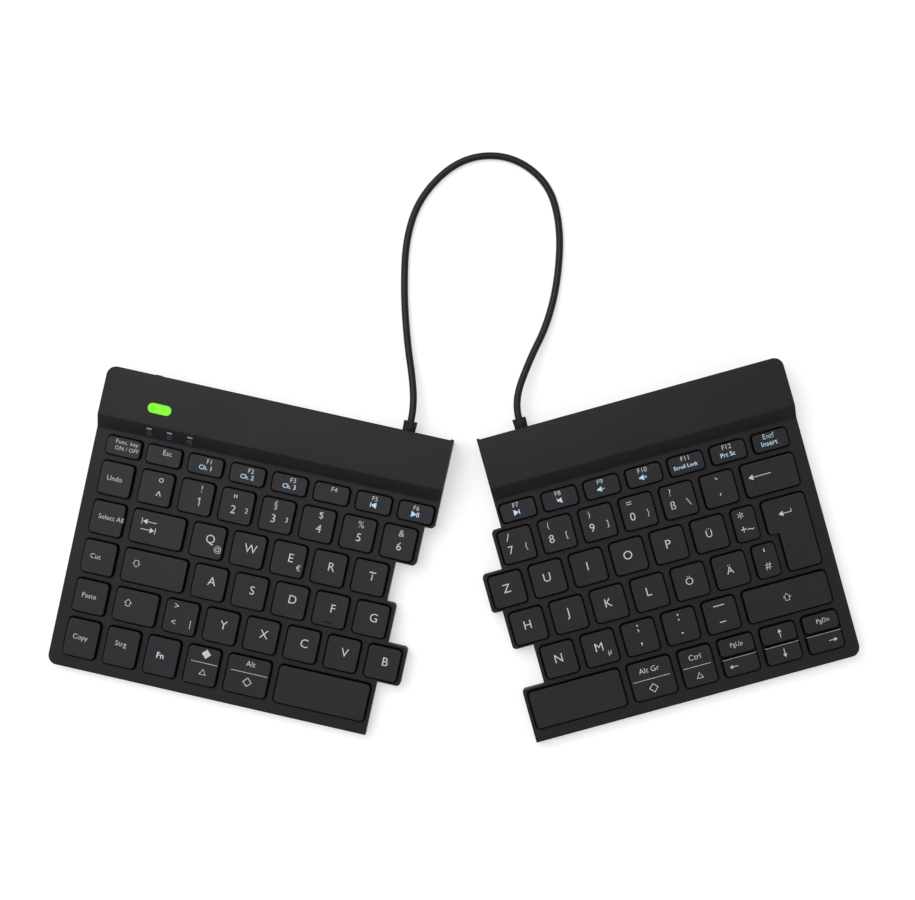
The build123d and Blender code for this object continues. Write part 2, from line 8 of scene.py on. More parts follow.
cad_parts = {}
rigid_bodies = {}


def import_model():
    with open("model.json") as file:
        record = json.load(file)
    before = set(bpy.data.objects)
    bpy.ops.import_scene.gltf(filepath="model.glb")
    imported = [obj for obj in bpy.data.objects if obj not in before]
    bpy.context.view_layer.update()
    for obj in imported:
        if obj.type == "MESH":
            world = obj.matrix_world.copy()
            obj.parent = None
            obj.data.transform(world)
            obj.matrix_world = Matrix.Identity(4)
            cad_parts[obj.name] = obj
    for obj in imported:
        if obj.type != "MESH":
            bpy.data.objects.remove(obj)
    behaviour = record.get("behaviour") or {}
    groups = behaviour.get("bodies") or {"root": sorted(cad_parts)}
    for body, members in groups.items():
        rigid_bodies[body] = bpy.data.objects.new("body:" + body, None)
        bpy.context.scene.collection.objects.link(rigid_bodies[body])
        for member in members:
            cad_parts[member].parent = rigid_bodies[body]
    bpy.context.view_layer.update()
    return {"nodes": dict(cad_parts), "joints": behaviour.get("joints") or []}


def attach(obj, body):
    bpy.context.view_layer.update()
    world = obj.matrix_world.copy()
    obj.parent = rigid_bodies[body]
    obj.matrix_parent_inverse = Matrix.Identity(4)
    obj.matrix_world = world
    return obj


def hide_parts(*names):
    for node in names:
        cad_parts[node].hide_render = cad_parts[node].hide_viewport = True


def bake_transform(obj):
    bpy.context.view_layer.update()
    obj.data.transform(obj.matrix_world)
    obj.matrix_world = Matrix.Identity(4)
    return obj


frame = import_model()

mm = 0.001


# Camera, desk and light.
# The photo is taken from about 0.7 m straight above a white table, under a large soft light
# behind and to the left of the keyboard; the shadows fall to the front right.
photo_width = 915
focal_pixels = 1514.8
camera_place = (0.02341, 0.02946, 0.7010)
camera_aim = (-0.02935, 0.02414, -1.0)
desk_color = (0.905, 0.905, 0.905)
desk_lift = 1.16
shadow_fill_share = 0.45

camera_data = bpy.data.cameras.new("photo_camera")
camera_data.sensor_width = 36.0
camera_data.lens = camera_data.sensor_width * focal_pixels / photo_width
camera = bpy.data.objects.new("photo_camera", camera_data)
camera.location = camera_place
behind = -Vector(camera_aim).normalized()
rightwards = (Vector((1, 0, 0)) - behind * behind.x).normalized()
camera_axes = Matrix((rightwards, behind.cross(rightwards), behind)).transposed()
camera.rotation_euler = camera_axes.to_euler()
bpy.context.collection.objects.link(camera)
bpy.context.scene.camera = camera
bpy.context.scene.view_settings.view_transform = "Standard"


def node_material(name, color, roughness, metallic=0.0, gloss=0.2):
    """A new material with its Principled shader's plain sockets set."""
    material = bpy.data.materials.new(name)
    material.use_nodes = True
    material.diffuse_color = (*color, 1.0)
    shader = material.node_tree.nodes["Principled BSDF"]
    shader.inputs["Base Color"].default_value = (*color, 1.0)
    shader.inputs["Roughness"].default_value = roughness
    shader.inputs["Metallic"].default_value = metallic
    shader.inputs["Specular IOR Level"].default_value = 0.5 if metallic else gloss
    return material


def add_noise(material, scale, detail=4.0, stretch=(1.0, 1.0, 1.0)):
    """Noise that stands still in the piece's own coordinates."""
    tree = material.node_tree
    place = tree.nodes.new("ShaderNodeTexCoord")
    mapping = tree.nodes.new("ShaderNodeMapping")
    mapping.inputs["Scale"].default_value = stretch
    noise = tree.nodes.new("ShaderNodeTexNoise")
    noise.inputs["Scale"].default_value = scale
    noise.inputs["Detail"].default_value = detail
    tree.links.new(place.outputs["Object"], mapping.inputs["Vector"])
    tree.links.new(mapping.outputs["Vector"], noise.inputs["Vector"])
    return noise


def vary_color(material, noise, dark, light):
    """The base colour wanders between two close tones."""
    tree = material.node_tree
    ramp = tree.nodes.new("ShaderNodeValToRGB")
    ramp.color_ramp.elements[0].position = 0.35
    ramp.color_ramp.elements[1].position = 0.65
    ramp.color_ramp.elements[0].color = (*dark, 1.0)
    ramp.color_ramp.elements[1].color = (*light, 1.0)
    tree.links.new(noise.outputs["Fac"], ramp.inputs["Fac"])
    tree.links.new(ramp.outputs["Color"], tree.nodes["Principled BSDF"].inputs["Base Color"])


def piece_from(bm, name, materials, body=None):
    """A bmesh becomes an object at the origin, riding on its body."""
    mesh = bpy.data.meshes.new(name)
    bm.to_mesh(mesh)
    bm.free()
    piece = bpy.data.objects.new(name, mesh)
    bpy.context.collection.objects.link(piece)
    for material in materials:
        mesh.materials.append(material)
    if body:
        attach(piece, body)
    return piece


def lift_for_camera(material, factor, white_share):
    """The camera sees the paint lighter, and shadows on it weaker, than the object does."""
    tree = material.node_tree
    shader = tree.nodes["Principled BSDF"]
    source = shader.inputs["Base Color"].links[0].from_socket
    path = tree.nodes.new("ShaderNodeLightPath")
    spread = tree.nodes.new("ShaderNodeMapRange")
    spread.inputs["To Min"].default_value = 1.0
    spread.inputs["To Max"].default_value = factor
    lift = tree.nodes.new("ShaderNodeVectorMath")
    lift.operation = "SCALE"
    tree.links.new(path.outputs["Is Camera Ray"], spread.inputs["Value"])
    tree.links.new(source, lift.inputs[0])
    tree.links.new(spread.outputs["Result"], lift.inputs["Scale"])
    tree.links.new(lift.outputs["Vector"], shader.inputs["Base Color"])
    white = tree.nodes.new("ShaderNodeEmission")
    share = tree.nodes.new("ShaderNodeMath")
    share.operation = "MULTIPLY"
    share.inputs[1].default_value = white_share
    blend = tree.nodes.new("ShaderNodeMixShader")
    tree.links.new(path.outputs["Is Camera Ray"], share.inputs[0])
    tree.links.new(share.outputs["Value"], blend.inputs["Fac"])
    tree.links.new(shader.outputs["BSDF"], blend.inputs[1])
    tree.links.new(white.outputs["Emission"], blend.inputs[2])
    tree.links.new(blend.outputs["Shader"], tree.nodes["Material Output"].inputs["Surface"])


desk_paint = node_material("white_table", desk_color, 0.85)
desk_noise = add_noise(desk_paint, 6.0)
vary_color(desk_paint, desk_noise, desk_color, tuple(0.985 * c for c in desk_color))
lift_for_camera(desk_paint, desk_lift, shadow_fill_share)
bm = bmesh.new()
bmesh.ops.create_grid(bm, x_segments=2, y_segments=2, size=6.0)
desk = piece_from(bm, "desk", [desk_paint])

for name, place, aim, size, power, tint in (
    ("window_light", (-0.50, 0.55, 1.30), (0.0, 0.05, 0.0), 1.3, 18.0, (1.0, 0.985, 0.965)),
    ("ceiling_light", (0.5, -0.3, 1.8), (0.0, 0.0, 0.0), 1.6, 3.0, (0.90, 0.93, 1.0)),
):
    lamp = bpy.data.lights.new(name, "AREA")
    lamp.size = size
    lamp.energy = power
    lamp.color = tint
    holder = bpy.data.objects.new(name, lamp)
    holder.location = place
    holder.rotation_euler = (Vector(aim) - Vector(place)).to_track_quat("-Z", "Y").to_euler()
    bpy.context.collection.objects.link(holder)

room = bpy.data.worlds.new("room")
room.use_nodes = True
room.node_tree.nodes["Background"].inputs["Color"].default_value = (0.9, 0.93, 1.0, 1.0)
room.node_tree.nodes["Background"].inputs["Strength"].default_value = 0.55
bpy.context.scene.world = room


# The two halves and their keys, as the frame has them.
# Each half is a wedge that lies turned on the desk; its plate rises to the rear by a few degrees,
# and every keycap stands square on that plate. The keys' own joints give turn and slope.
plate_front_height = 6.0 * mm
key_gap = 0.3 * mm
sides = ("left", "right")
inward = {"left": 1, "right": -1}
row_limits = [24.9, 43.9, 61.9, 80.4, 98.9]
joined_distance = 0.001 * mm
enter_notch_reach = 2.0 * mm
enter_notch_margin = 0.5 * mm
same_corner = 0.2 * mm


def node_mesh(node):
    """The CAD node's mesh with its loose triangles joined."""
    bm = bmesh.new()
    bm.from_mesh(frame["nodes"][node].data)
    bm.transform(frame["nodes"][node].matrix_world)
    bmesh.ops.remove_doubles(bm, verts=bm.verts, dist=joined_distance)
    return bm


def half_matrix(side):
    """Half's own frame: X along its front edge, Y to the rear, origin at its outer front corner."""
    escape = "escape_key_press" if side == "left" else "delete_key_press"
    axis = next(j["axis"] for j in frame["joints"] if j["name"] == escape)
    turn = atan2(axis[0], -axis[1])
    slope = acos(axis[2])
    bm = node_mesh(f"{side}_bottom_cover")
    bm.transform(Matrix.Rotation(-turn, 4, "Z"))
    pick = min if side == "left" else max
    corner = Vector((pick(v.co.x for v in bm.verts), min(v.co.y for v in bm.verts), 0.0))
    bm.free()
    return Matrix.Rotation(turn, 4, "Z") @ Matrix.Translation(corner), slope


on_desk, plate_slope = {}, {}
for side in sides:
    on_desk[side], plate_slope[side] = half_matrix(side)
on_plate = {
    side: on_desk[side]
    @ Matrix.Translation((0, 0, plate_front_height))
    @ Matrix.Rotation(plate_slope[side], 4, "X")
    for side in sides
}


def islands(node, place):
    """Vertices of each separate solid of a node, seen from a frame."""
    bm = node_mesh(node)
    bm.transform(place.inverted())
    left = dict.fromkeys(bm.verts)
    groups = []
    while left:
        stack = [left.popitem()[0]]
        group = []
        while stack:
            vert = stack.pop()
            group.append(vert.co.copy())
            for edge in vert.link_edges:
                other = edge.other_vert(vert)
                if other in left:
                    del left[other]
                    stack.append(other)
        groups.append(group)
    bm.free()
    return groups


def span(points):
    """Lowest and highest corner of some points."""
    low = Vector([min(p[i] for p in points) for i in range(3)])
    high = Vector([max(p[i] for p in points) for i in range(3)])
    return low, high


key_body, key_side, keys = {}, {}, {}
for joint in frame["joints"]:
    if joint["name"].endswith("_press"):
        node = joint["name"].removesuffix("_press")
        key_body[node] = joint["child"]
        key_side[node] = joint["parent"].removesuffix("_half")
for node, side in key_side.items():
    spans = [span(points) for points in islands(node, on_plate[side])]
    keys[node] = sorted(spans, key=lambda s: (round(s[0].x / mm), s[0].y))


def key_row(low, high):
    middle = (low.y + high.y) / 2 / mm
    return sum(middle > limit for limit in row_limits)


def outline_of(low, high):
    return [(low.x, low.y), (high.x, low.y), (high.x, high.y), (low.x, high.y)]


def enter_outline(grow=0.0):
    """The tall Enter key is narrower in its front row, like a bent slab."""
    points = islands("enter_key", on_plate["right"])[0]
    low, high = span(points)
    front_rows = low.y + enter_notch_reach
    front_low = min(p.x for p in points if p.y < front_rows)
    step = min(p.y for p in points if p.x < front_low - enter_notch_margin and p.y > front_rows)
    g = grow
    return [
        (front_low - g, low.y - g),
        (high.x + g, low.y - g),
        (high.x + g, high.y + g),
        (low.x - g, high.y + g),
        (low.x - g, step - g),
        (front_low - g, step - g),
    ]


def flat_face(bm, outline, z=0.0):
    verts = [bm.verts.new((x, y, z)) for x, y in outline]
    return bm.faces.new(verts)


def round_corner(bm, vert, radius, segments):
    """Round one corner of a flat face."""
    a, b = [(edge.other_vert(vert).co - vert.co).normalized() for edge in vert.link_edges]
    turn = pi - a.angle(b)
    offset = radius * tan(turn / 2)
    bmesh.ops.bevel(
        bm,
        geom=[vert],
        offset=offset,
        offset_type="OFFSET",
        affect="VERTICES",
        segments=segments,
        profile=0.5,
        material=-1,
    )


def round_corners(bm, face, radius, segments, skip=()):
    for vert in list(face.verts):
        if not any((vert.co.xy - Vector(s)).length < same_corner for s in skip):
            round_corner(bm, vert, radius, segments)


def raise_face(bm, face, height):
    """Extrude a flat face upwards into a prism; returns the top face."""
    result = bmesh.ops.extrude_face_region(bm, geom=[face])
    top = [e for e in result["geom"] if isinstance(e, bmesh.types.BMFace)][0]
    bmesh.ops.translate(bm, verts=top.verts, vec=(0, 0, height))
    bmesh.ops.recalc_face_normals(bm, faces=bm.faces)
    return top


def pour(part, whole):
    """Add one bmesh to another and free it."""
    mesh = bpy.data.meshes.new("part")
    part.to_mesh(mesh)
    part.free()
    whole.from_mesh(mesh)
    bpy.data.meshes.remove(mesh)


def in_order(mesh):
    """Sort a mesh's corners and faces by place: a boolean leaves them in another order each run."""
    loose, ordered = bmesh.new(), bmesh.new()
    loose.from_mesh(mesh)
    twins = {}
    for vert in sorted(loose.verts, key=lambda v: tuple(v.co)):
        twins[vert] = ordered.verts.new(vert.co)
    rings = []
    for face in loose.faces:
        ring = list(face.verts)
        first = ring.index(min(ring, key=lambda v: tuple(v.co)))
        rings.append((ring[first:] + ring[:first], face.material_index))
    for ring, material_index in sorted(rings, key=lambda r: [tuple(v.co) for v in r[0]]):
        corners = [twins[vert] for vert in ring]
        if not ordered.faces.get(corners):
            ordered.faces.new(corners).material_index = material_index
    loose.free()
    ordered.to_mesh(mesh)
    ordered.free()


def boolean(piece, cutter, operation):
    """Apply one exact boolean and discard the cutter."""
    step = piece.modifiers.new("cut", "BOOLEAN")
    step.operation = operation
    step.solver = "EXACT"
    step.object = cutter
    bpy.context.view_layer.update()
    result = bpy.data.meshes.new_from_object(piece.evaluated_get(bpy.context.evaluated_depsgraph_get()))
    piece.modifiers.remove(step)
    in_order(result)
    piece.data = result
    bpy.data.objects.remove(cutter)


# Top cases.
# Each half's upper shell is one black moulding: a thin sloped plate with a rounded opening for
# every key, a stepped inner edge that follows the rows, and a raised bar along the rear.
case_black = (0.0085, 0.0080, 0.0088)
case_wall = 1.4 * mm
step_radius = 1.8 * mm
corner_radius = 4.5 * mm
opening_radius = 2.4 * mm
inner_edge_margin = 1.5 * mm
bar_edge_margin = 0.9 * mm
end_rib_width = 1.2 * mm
end_rib_proud = 0.5 * mm
rear_edge_radius = 1.0 * mm
interlock_gap = 0.15 * mm
bar_foot = 111.8 * mm
bar_crest = 117.1 * mm
bar_height = 15.2 * mm
parting_height = 2.2 * mm
edge_softness = 0.35 * mm
front_edge_radius = 0.8 * mm
bar_foot_radius = 2.0 * mm
bar_crest_radius = 1.5 * mm
wall_lean_share = 0.3
section_reach = 200.0 * mm
cut_overrun = 1.0 * mm
step_tolerance = 0.3 * mm
side_tolerance = 0.5 * mm
half_key_limit = 9.0 * mm
opening_reach = 3.0 * mm
switch_flange = 1.0 * mm
switch_travel = 2.5 * mm
switch_gap = 0.1 * mm
switch_slot_radius = 0.5 * mm
socket_gap = 0.05 * mm
slot_round_share = 0.9
slot_reach = 3.0 * mm
weld_distance = 0.002 * mm


def vary_roughness(material, noise, low, high):
    """Some spots of the surface are glossier than others."""
    tree = material.node_tree
    spread = tree.nodes.new("ShaderNodeMapRange")
    spread.inputs["To Min"].default_value = low
    spread.inputs["To Max"].default_value = high
    tree.links.new(noise.outputs["Fac"], spread.inputs["Value"])
    tree.links.new(spread.outputs["Result"], tree.nodes["Principled BSDF"].inputs["Roughness"])


def add_grain(material, noise, strength, depth):
    """Fine grain of the mould or the rubber, as a bump."""
    tree = material.node_tree
    bump = tree.nodes.new("ShaderNodeBump")
    bump.inputs["Strength"].default_value = strength
    bump.inputs["Distance"].default_value = depth
    tree.links.new(noise.outputs["Fac"], bump.inputs["Height"])
    tree.links.new(bump.outputs["Normal"], tree.nodes["Principled BSDF"].inputs["Normal"])


# Painted shade: a near-black copy of the plastic for the walls of the key openings and the sides of the
# caps, standing in for the shade deep in the gaps between keys.
painted_gap_shade = node_material("painted_shade_in_gaps", (0.0016, 0.0015, 0.0018), 0.85, gloss=0.04)
vary_color(painted_gap_shade, add_noise(painted_gap_shade, 300.0), (0.0013, 0.0012, 0.0015), (0.0019, 0.0018, 0.0021))
case_plastic = node_material("matte_black_plastic", case_black, 0.55)
case_noise = add_noise(case_plastic, 1400.0, 3.0)
add_grain(case_plastic, case_noise, 0.22, 0.00004)
vary_roughness(case_plastic, add_noise(case_plastic, 25.0), 0.48, 0.6)
vary_color(case_plastic, add_noise(case_plastic, 60.0), case_black, tuple(1.12 * c for c in case_black))


def inner_edges(side):
    """Where the stepped inner edge runs beside each row, and where it steps."""
    ends = {}
    for node, spans in keys.items():
        if key_side[node] != side or node == "enter_key":
            continue
        for low, high in spans:
            row = key_row(low, high)
            reach = high.x if side == "left" else -low.x
            front, rear, far = ends.get(row, (1.0, 0.0, 0.0))
            ends[row] = (min(front, low.y), max(rear, high.y), max(far, reach))
    margins = [inner_edge_margin] * 5 + [bar_edge_margin]
    edges = [ends[row][2] + key_gap + margins[row] for row in range(6)]
    steps = [(ends[row][1] + ends[row + 1][0]) / 2 for row in range(5)]
    return edges, steps


def case_outline(side, inset=0.0):
    """Corners of a half seen from above, from its front edge round to its rear."""
    edges, steps = inner_edges(side)
    depth = case_depth(side)
    points = [(inset, inset), (edges[0] - inset, inset)]
    for row, step in enumerate(steps):
        shift = interlock_gap + inset
        if edges[row + 1] < edges[row]:
            shift = -shift
        points += [(edges[row] - inset, step + shift), (edges[row + 1] - inset, step + shift)]
    points += [(edges[5] - inset, depth - inset), (inset, depth - inset)]
    return [(inward[side] * x, y) for x, y in points]


def case_depth(side):
    """Rear edge of the half, as far back as its bottom cover."""
    points = [p for group in islands(f"{side}_bottom_cover", on_desk[side]) for p in group]
    return max(p.y for p in points)


def outline_prism(side, inset, bottom, top, rounded):
    """The half's outline drawn upwards; its outer and step corners can be rounded."""
    bm = bmesh.new()
    face = flat_face(bm, case_outline(side, inset), bottom)
    if rounded:
        steps = inner_edges(side)[1]
        for vert in list(face.verts):
            x = abs(vert.co.x)
            if x < side_tolerance:
                round_corner(bm, vert, corner_radius, 8)
                continue
            at_step = any(abs(vert.co.y - step) < step_tolerance for step in steps)
            others = [edge.other_vert(vert).co for edge in vert.link_edges]
            sticks_out = all(abs(other.x) <= x + joined_distance for other in others)
            if at_step and sticks_out:
                round_corner(bm, vert, step_radius, 5)
    raise_face(bm, bm.faces[:][0], top - bottom)
    return piece_from(bm, "outline", [])


def section_prism(side, drop, bottom):
    """The side view of the half, drawn out over more than its width."""
    depth = case_depth(side)
    slope = tan(plate_slope[side])
    foot_height = plate_front_height + bar_foot * slope
    bm = bmesh.new()
    outline = [
        (-drop, bottom),
        (-drop, plate_front_height - drop - drop * slope),
        (bar_foot + wall_lean_share * drop, foot_height - drop),
        (bar_crest + wall_lean_share * drop, bar_height - drop),
        (depth + drop, bar_height - drop),
        (depth + drop, bottom),
    ]
    face = flat_face(bm, outline)
    corners = list(face.verts)
    if drop == 0:
        round_corner(bm, corners[1], front_edge_radius, 4)
        round_corner(bm, corners[2], bar_foot_radius, 6)
        round_corner(bm, corners[3], bar_crest_radius, 6)
        round_corner(bm, corners[4], rear_edge_radius, 6)
    raise_face(bm, bm.faces[:][0], 2 * section_reach)
    upright = Matrix(((0, 0, 1, -section_reach), (1, 0, 0, 0), (0, 1, 0, 0), (0, 0, 0, 1)))
    bm.transform(upright)
    bmesh.ops.recalc_face_normals(bm, faces=bm.faces)
    return piece_from(bm, "section", [])


def opening_cutter(side):
    """All the key openings of a half as one set of rounded prisms, square to the plate."""
    bm = bmesh.new()
    gap = Vector((key_gap, key_gap, key_gap))
    outlines = []
    small = {}
    for node, spans in keys.items():
        if key_side[node] != side:
            continue
        for low, high in spans:
            if node == "enter_key":
                outlines.append(enter_outline(key_gap))
            elif high.y - low.y < half_key_limit:
                column = round(low.x / mm)
                a, b = small.get(column, (low.copy(), high.copy()))
                low = Vector((min(a.x, low.x), min(a.y, low.y), 0))
                high = Vector((max(b.x, high.x), max(b.y, high.y), 0))
                small[column] = (low, high)
            else:
                outlines.append(outline_of(low - gap, high + gap))
    outlines += [outline_of(low - gap, high + gap) for low, high in small.values()]
    for outline in outlines:
        part = bmesh.new()
        face = flat_face(part, outline, -opening_reach)
        skip = [outline[5]] if len(outline) == 6 else []
        round_corners(part, face, opening_radius, 6, skip)
        raise_face(part, part.faces[:][0], 2 * opening_reach)
        pour(part, bm)
    bm.transform(on_plate[side])
    # Painted shade: the opening walls take the near-black gap shade.
    for face in bm.faces:
        face.material_index = 1
    return piece_from(bm, "openings", [case_plastic, painted_gap_shade])


def rear_wall_cutter(node, grow, travel=0.0):
    """A rounded slot through the rear wall round a piece that sits in it."""
    low, high = span([p for group in islands(node, on_desk["left"]) for p in group])
    if travel:
        flange = Vector((switch_flange, 0, switch_flange))
        low, high = low + flange, high - flange
    bm = bmesh.new()
    outline = [(low.x - grow, low.z - grow), (high.x + grow + travel, low.z - grow)]
    outline += [(high.x + grow + travel, high.z + grow), (low.x - grow, high.z + grow)]
    face = flat_face(bm, outline)
    radius = (high.z - low.z) / 2 + slot_round_share * grow
    round_corners(bm, face, radius if not travel else switch_slot_radius, 8)
    raise_face(bm, bm.faces[:][0], 2 * slot_reach)
    rear = case_depth("left")
    bm.transform(Matrix(((1, 0, 0, 0), (0, 0, -1, rear + slot_reach), (0, 1, 0, 0), (0, 0, 0, 1))))
    bm.transform(on_desk["left"])
    return piece_from(bm, "slot", [])


def end_rib(side):
    """Upright rib at the bar's inner end, a little proud of the rear wall."""
    far = inward[side] * inner_edges(side)[0][5]
    near = far - inward[side] * end_rib_width
    rear = case_depth(side)
    bm = bmesh.new()
    outline = [(near, rear - end_rib_proud), (far, rear - end_rib_proud), (far, rear + end_rib_proud)]
    flat_face(bm, outline + [(near, rear + end_rib_proud)], parting_height)
    raise_face(bm, bm.faces[:][0], bar_height - rear_edge_radius - parting_height)
    return piece_from(bm, "end_rib", [])


def top_case(side):
    """The shell of one half: outline and side view crossed, hollowed, and cut for keys and sockets."""
    shell = outline_prism(side, 0.0, parting_height, bar_height + cut_overrun, True)
    shell.data.materials.append(case_plastic)
    # Second slot: the painted gap shade for the opening walls.
    shell.data.materials.append(painted_gap_shade)
    boolean(shell, section_prism(side, 0.0, parting_height - cut_overrun), "INTERSECT")
    boolean(shell, end_rib(side), "UNION")
    room = outline_prism(side, case_wall, parting_height - cut_overrun, bar_height, False)
    boolean(room, section_prism(side, case_wall, parting_height - 2 * cut_overrun), "INTERSECT")
    boolean(shell, room, "DIFFERENCE")
    bm = bmesh.new()
    bm.from_mesh(shell.data)
    bm.transform(on_desk[side])
    bm.to_mesh(shell.data)
    bm.free()
    boolean(shell, opening_cutter(side), "DIFFERENCE")
    if side == "left":
        boolean(shell, rear_wall_cutter("usb_c_socket", socket_gap), "DIFFERENCE")
        boolean(shell, rear_wall_cutter("power_switch_slider", switch_gap, switch_travel), "DIFFERENCE")
    bm = bmesh.new()
    bm.from_mesh(shell.data)
    bmesh.ops.remove_doubles(bm, verts=bm.verts, dist=weld_distance)
    bmesh.ops.dissolve_limit(bm, angle_limit=radians(0.5), verts=bm.verts, edges=bm.edges)
    bpy.data.objects.remove(shell)
    case = piece_from(bm, f"{side}_case_top", [case_plastic, painted_gap_shade], f"{side}_half")
    soften(case, edge_softness)
    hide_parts(f"{side}_top_case")
    return case


def soften(piece, width, segments=3):
    """Small moulded radius on every sharp edge."""
    edge = piece.modifiers.new("soft_edges", "BEVEL")
    edge.width = width
    edge.segments = segments
    edge.limit_method = "ANGLE"
    edge.angle_limit = radians(35)
    edge.harden_normals = True
    edge.miter_outer = "MITER_ARC"
    for polygon in piece.data.polygons:
        polygon.use_smooth = True


for side in sides:
    top_case(side)


# Keycaps.
# 88 low caps of black plastic with slightly drafted sides, a soft rim and a shallow hollow
# across the top; each clips onto crossed links that stand round a rubber dome.
key_black = (0.0090, 0.0085, 0.0096)
key_radius = 1.9 * mm
key_side_draft = 0.4 * mm
key_rim = 0.4 * mm
key_hollow = 0.12 * mm
key_cap_height = 2.6 * mm
hollow_cuts = 10
top_tolerance = 0.01 * mm
home_ridge_size = (3.6 * mm, 0.6 * mm, 0.7 * mm)
home_ridge_inset = 2.3 * mm
home_ridges = {"left_home_letter_keys": 3, "right_home_letter_keys": 1}

key_plastic = node_material("keycap_plastic", key_black, 0.5, gloss=0.24)
key_noise = add_noise(key_plastic, 1800.0, 3.0)
add_grain(key_plastic, key_noise, 0.25, 0.00004)
vary_roughness(key_plastic, add_noise(key_plastic, 40.0), 0.42, 0.55)
vary_color(key_plastic, add_noise(key_plastic, 90.0), key_black, tuple(1.15 * c for c in key_black))


def keycap(outline, base, skip=()):
    """One cap: rounded outline, drafted sides and a hollow top that sinks towards its middle."""
    bm = bmesh.new()
    face = flat_face(bm, outline, base)
    round_corners(bm, face, key_radius, 6, skip)
    top = raise_face(bm, bm.faces[:][0], key_cap_height)
    xs = [x for x, y in outline]
    ys = [y for x, y in outline]
    middle = Vector(((min(xs) + max(xs)) / 2, (min(ys) + max(ys)) / 2, 0))
    width, depth = max(xs) - min(xs), max(ys) - min(ys)
    taper = (1 - 2 * key_side_draft / width, 1 - 2 * key_side_draft / depth, 1)
    bmesh.ops.scale(bm, verts=top.verts, vec=taper, space=Matrix.Translation(-middle))
    flat = width / 2 - key_side_draft - key_rim
    for i in range(1, hollow_cuts):
        x = middle.x + flat * (2 * i / hollow_cuts - 1)
        tops = [f for f in bm.faces if f.normal.z > 0.9]
        geom = list(dict.fromkeys(e for f in tops for e in (*f.verts, *f.edges))) + tops
        bmesh.ops.bisect_plane(bm, geom=geom, plane_co=(x, 0, 0), plane_no=(1, 0, 0))
    for vert in bm.verts:
        if vert.co.z > base + key_cap_height - top_tolerance:
            share = min(abs(vert.co.x - middle.x) / flat, 1.0)
            vert.co.z -= key_hollow * (1 - share * share)
    return bm


def key_outlines(node):
    if node == "enter_key":
        return [enter_outline()]
    return [outline_of(low, high) for low, high in keys[node]]


def home_ridge(low, high):
    """Raised bar near the front edge of the two keys that the index fingers feel for."""
    bm = bmesh.new()
    bmesh.ops.create_cube(bm, size=1.0)
    bmesh.ops.scale(bm, verts=bm.verts, vec=home_ridge_size)
    place = ((low.x + high.x) / 2, low.y + home_ridge_inset, low.z + key_cap_height - key_hollow)
    bmesh.ops.translate(bm, verts=bm.verts, vec=place)
    return bm


for node, side in key_side.items():
    caps = bmesh.new()
    base = keys[node][0][0].z
    for outline in key_outlines(node):
        skip = [outline[5]] if len(outline) == 6 else []
        pour(keycap(outline, base, skip), caps)
    # Painted shade: the caps' sides take the near-black gap shade, their tops the plastic.
    for face in caps.faces:
        face.material_index = 0 if face.normal.z > 0.7 else 1
    if node in home_ridges:
        pour(home_ridge(*keys[node][home_ridges[node]]), caps)
    caps.transform(on_plate[side])
    piece = piece_from(caps, node + "_caps", [key_plastic, painted_gap_shade], key_body[node])
    soften(piece, key_rim)
    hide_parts(node)


# Key legends.
# Plain letters, digits and signs printed in pale ink on the caps, with blue ones for the second
# function of a key, and a painted highlight strip along the split rear edge of the half-height arrow
# keys; each print lies a hair above the hollow top and rides on its key.
ink_white = (0.52, 0.52, 0.53)
ink_blue = (0.46, 0.66, 0.82)
# Painted highlight: pale strip where the split rear edge of an arrow key catches the light.
painted_edge_highlight = (0.27, 0.255, 0.22)
ink_height = 0.025 * mm
capital_share = 0.69
letter_cap = 3.9
umlaut_cap = 3.3
digit_cap = 3.7
sign_cap = 3.0
rule_width = 0.22

inks = {}
for name, color in (("white", ink_white), ("blue", ink_blue), ("painted_highlight", painted_edge_highlight)):
    ink = node_material(f"{name}_ink", color, 0.6)
    vary_color(ink, add_noise(ink, 700.0), tuple(0.88 * c for c in color), color)
    inks[name] = ink


def text_print(text, cap, bold):
    """Mesh of a printed word, as the font sets it."""
    curve = bpy.data.curves.new("print", "FONT")
    curve.body = text
    curve.size = cap / capital_share * mm
    curve.resolution_u = 3
    curve.offset = bold * mm
    holder = bpy.data.objects.new("print", curve)
    bpy.context.collection.objects.link(holder)
    bpy.context.view_layer.update()
    mesh = bpy.data.meshes.new_from_object(holder.evaluated_get(bpy.context.evaluated_depsgraph_get()))
    bpy.data.objects.remove(holder)
    bm = bmesh.new()
    bm.from_mesh(mesh)
    bpy.data.meshes.remove(mesh)
    return bm


def rule_print(length, width, angle=0.0):
    bm = bmesh.new()
    bmesh.ops.create_grid(bm, x_segments=6, y_segments=1, size=0.5)
    bmesh.ops.scale(bm, verts=bm.verts, vec=(length * mm, width * mm, 1))
    bm.transform(Matrix.Rotation(angle, 4, "Z"))
    return bm


def word(text, x, y, cap=sign_cap, tint="white", from_left=False, bold=-0.02):
    """A print, x from the left and y from the rear edge of the key's opening, in millimetres."""
    return (text, x, y, cap, tint, from_left, bold)


def rule(x, y, length, width=rule_width, tint="white", angle=0.0):
    return (None, x, y, (length, width, angle), tint, False, 0.0)


def strokes(points, width=0.28, tint="white"):
    """Straight pen strokes from point to point."""
    lines = []
    for (x0, y0), (x1, y1) in zip(points, points[1:]):
        length = hypot(x1 - x0, y1 - y0) + 0.8 * width
        lines.append(rule((x0 + x1) / 2, (y0 + y1) / 2, length, width, tint, atan2(y0 - y1, x1 - x0)))
    return lines


def letter(text, side, extra=None):
    x, y = (9.3, 7.3) if side == "left" else (7.9, 7.6)
    prints = [word(text, x, y, umlaut_cap if text in "\u00dc\u00d6\u00c4" else letter_cap)]
    if extra:
        prints.append(word(extra, x + 4.2, y + 3.8, 2.6))
    return prints


def one(x, y, cap):
    """The figure one, with its short flag."""
    top = y - cap / 2
    return strokes([(x, y + cap / 2), (x, top + 0.1), (x - 0.75, top + 0.75)], 0.4)


